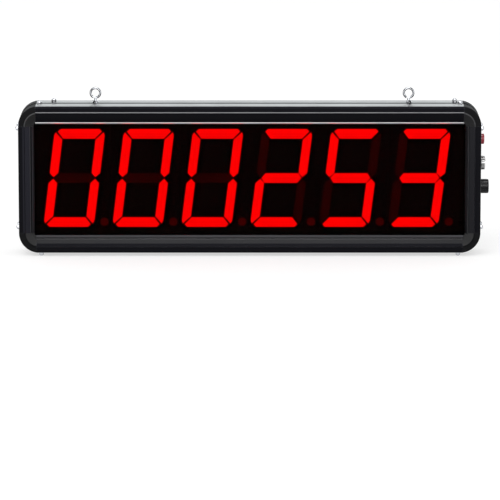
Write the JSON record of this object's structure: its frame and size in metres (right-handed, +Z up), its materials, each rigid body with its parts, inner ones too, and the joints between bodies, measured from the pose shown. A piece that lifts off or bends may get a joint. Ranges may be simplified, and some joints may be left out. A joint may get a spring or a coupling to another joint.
{
  "type": "electronic counter display",
  "caption": "Flat hanging display box with red seven-segment figures behind a dark lens, rounded corner pieces, two wire eyes on top and a reset button and sockets on one side.",
  "frame": {"origin": "centre of the rear face, in the rear cover's outer plane", "axes": "+X to the right seen from the front, +Y to the rear, +Z up"},
  "size_m": [0.4928, 0.0462, 0.1739],
  "materials": {
    "anodised_rail": "satin black anodised",
    "moulded_corner": "matte moulded",
    "tinted_lens": "polished dark red tint",
    "painted_cover": "matte black paint",
    "lit_segment": "glowing red",
    "dark_segment": "unlit red",
    "digit_housing": "matte black",
    "circuit_board": "solder mask",
    "black_plastic": "matte black",
    "green_plastic": "matte",
    "capacitor_sleeve": "shrink sleeve",
    "transformer_tape": "taped winding",
    "heat_sink": "extruded",
    "ribbon": "grey insulation",
    "red_cap": "glossy",
    "brass_pins": "plated",
    "nickel": "nickel plated",
    "zinc_steel": "zinc plated"
  },
  "bodies": {
    "frame": {"top_rail": "anodised_rail", "bottom_rail": "anodised_rail", "left_rail": "anodised_rail", "right_rail": "anodised_rail", "corner_top_left": "moulded_corner", "corner_top_right": "moulded_corner", "corner_bottom_left": "moulded_corner", "corner_bottom_right": "moulded_corner", "frame_screws": "zinc_steel", "front_lens": "tinted_lens", "rear_cover": "painted_cover", "cover_screws": "zinc_steel", "eye_bolts": "nickel", "eye_nuts": "nickel", "eye_washers": "nickel", "digit_1_housing": "digit_housing", "digit_2_housing": "digit_housing", "digit_3_housing": "digit_housing", "digit_4_housing": "digit_housing", "digit_5_housing": "digit_housing", "digit_6_housing": "digit_housing", "digit_1_lit_segments": "lit_segment", "digit_2_lit_segments": "lit_segment", "digit_3_lit_segments": "lit_segment", "digit_4_lit_segments": "lit_segment", "digit_5_lit_segments": "lit_segment", "digit_6_lit_segments": "lit_segment", "digit_1_dark_segments": "dark_segment", "digit_2_dark_segments": "dark_segment", "digit_3_dark_segments": "dark_segment", "digit_4_dark_segments": "dark_segment", "digit_5_dark_segments": "dark_segment", "digit_6_dark_segments": "dark_segment", "display_board": "circuit_board", "display_standoffs": "zinc_steel", "display_screws": "zinc_steel", "control_board": "circuit_board", "control_chips": "black_plastic", "terminal_block": "green_plastic", "capacitors": "capacitor_sleeve", "power_board": "circuit_board", "power_transformer": "transformer_tape", "power_heat_sink": "heat_sink", "board_standoffs": "zinc_steel", "board_screws": "zinc_steel", "ribbon_headers": "black_plastic", "ribbon_cable": "ribbon", "reset_button_body": "black_plastic", "reset_button_nut": "nickel", "reset_button_spring": "zinc_steel", "signal_socket_shell": "nickel", "signal_socket_nut": "nickel", "signal_socket_insert": "black_plastic", "signal_socket_pins": "brass_pins", "power_inlet_shell": "black_plastic", "power_inlet_nut": "nickel", "power_inlet_insert": "black_plastic", "power_inlet_pins": "brass_pins"},
    "button": {"reset_button_cap": "red_cap"}
  },
  "joints": [
    {"name": "reset_press", "type": "slide", "parent": "frame", "child": "button", "axis": [-1, 0, 0], "range_m": [0, 0.0018], "stiffness_N_per_m": 500, "springref_m": -0.001}
  ]
}
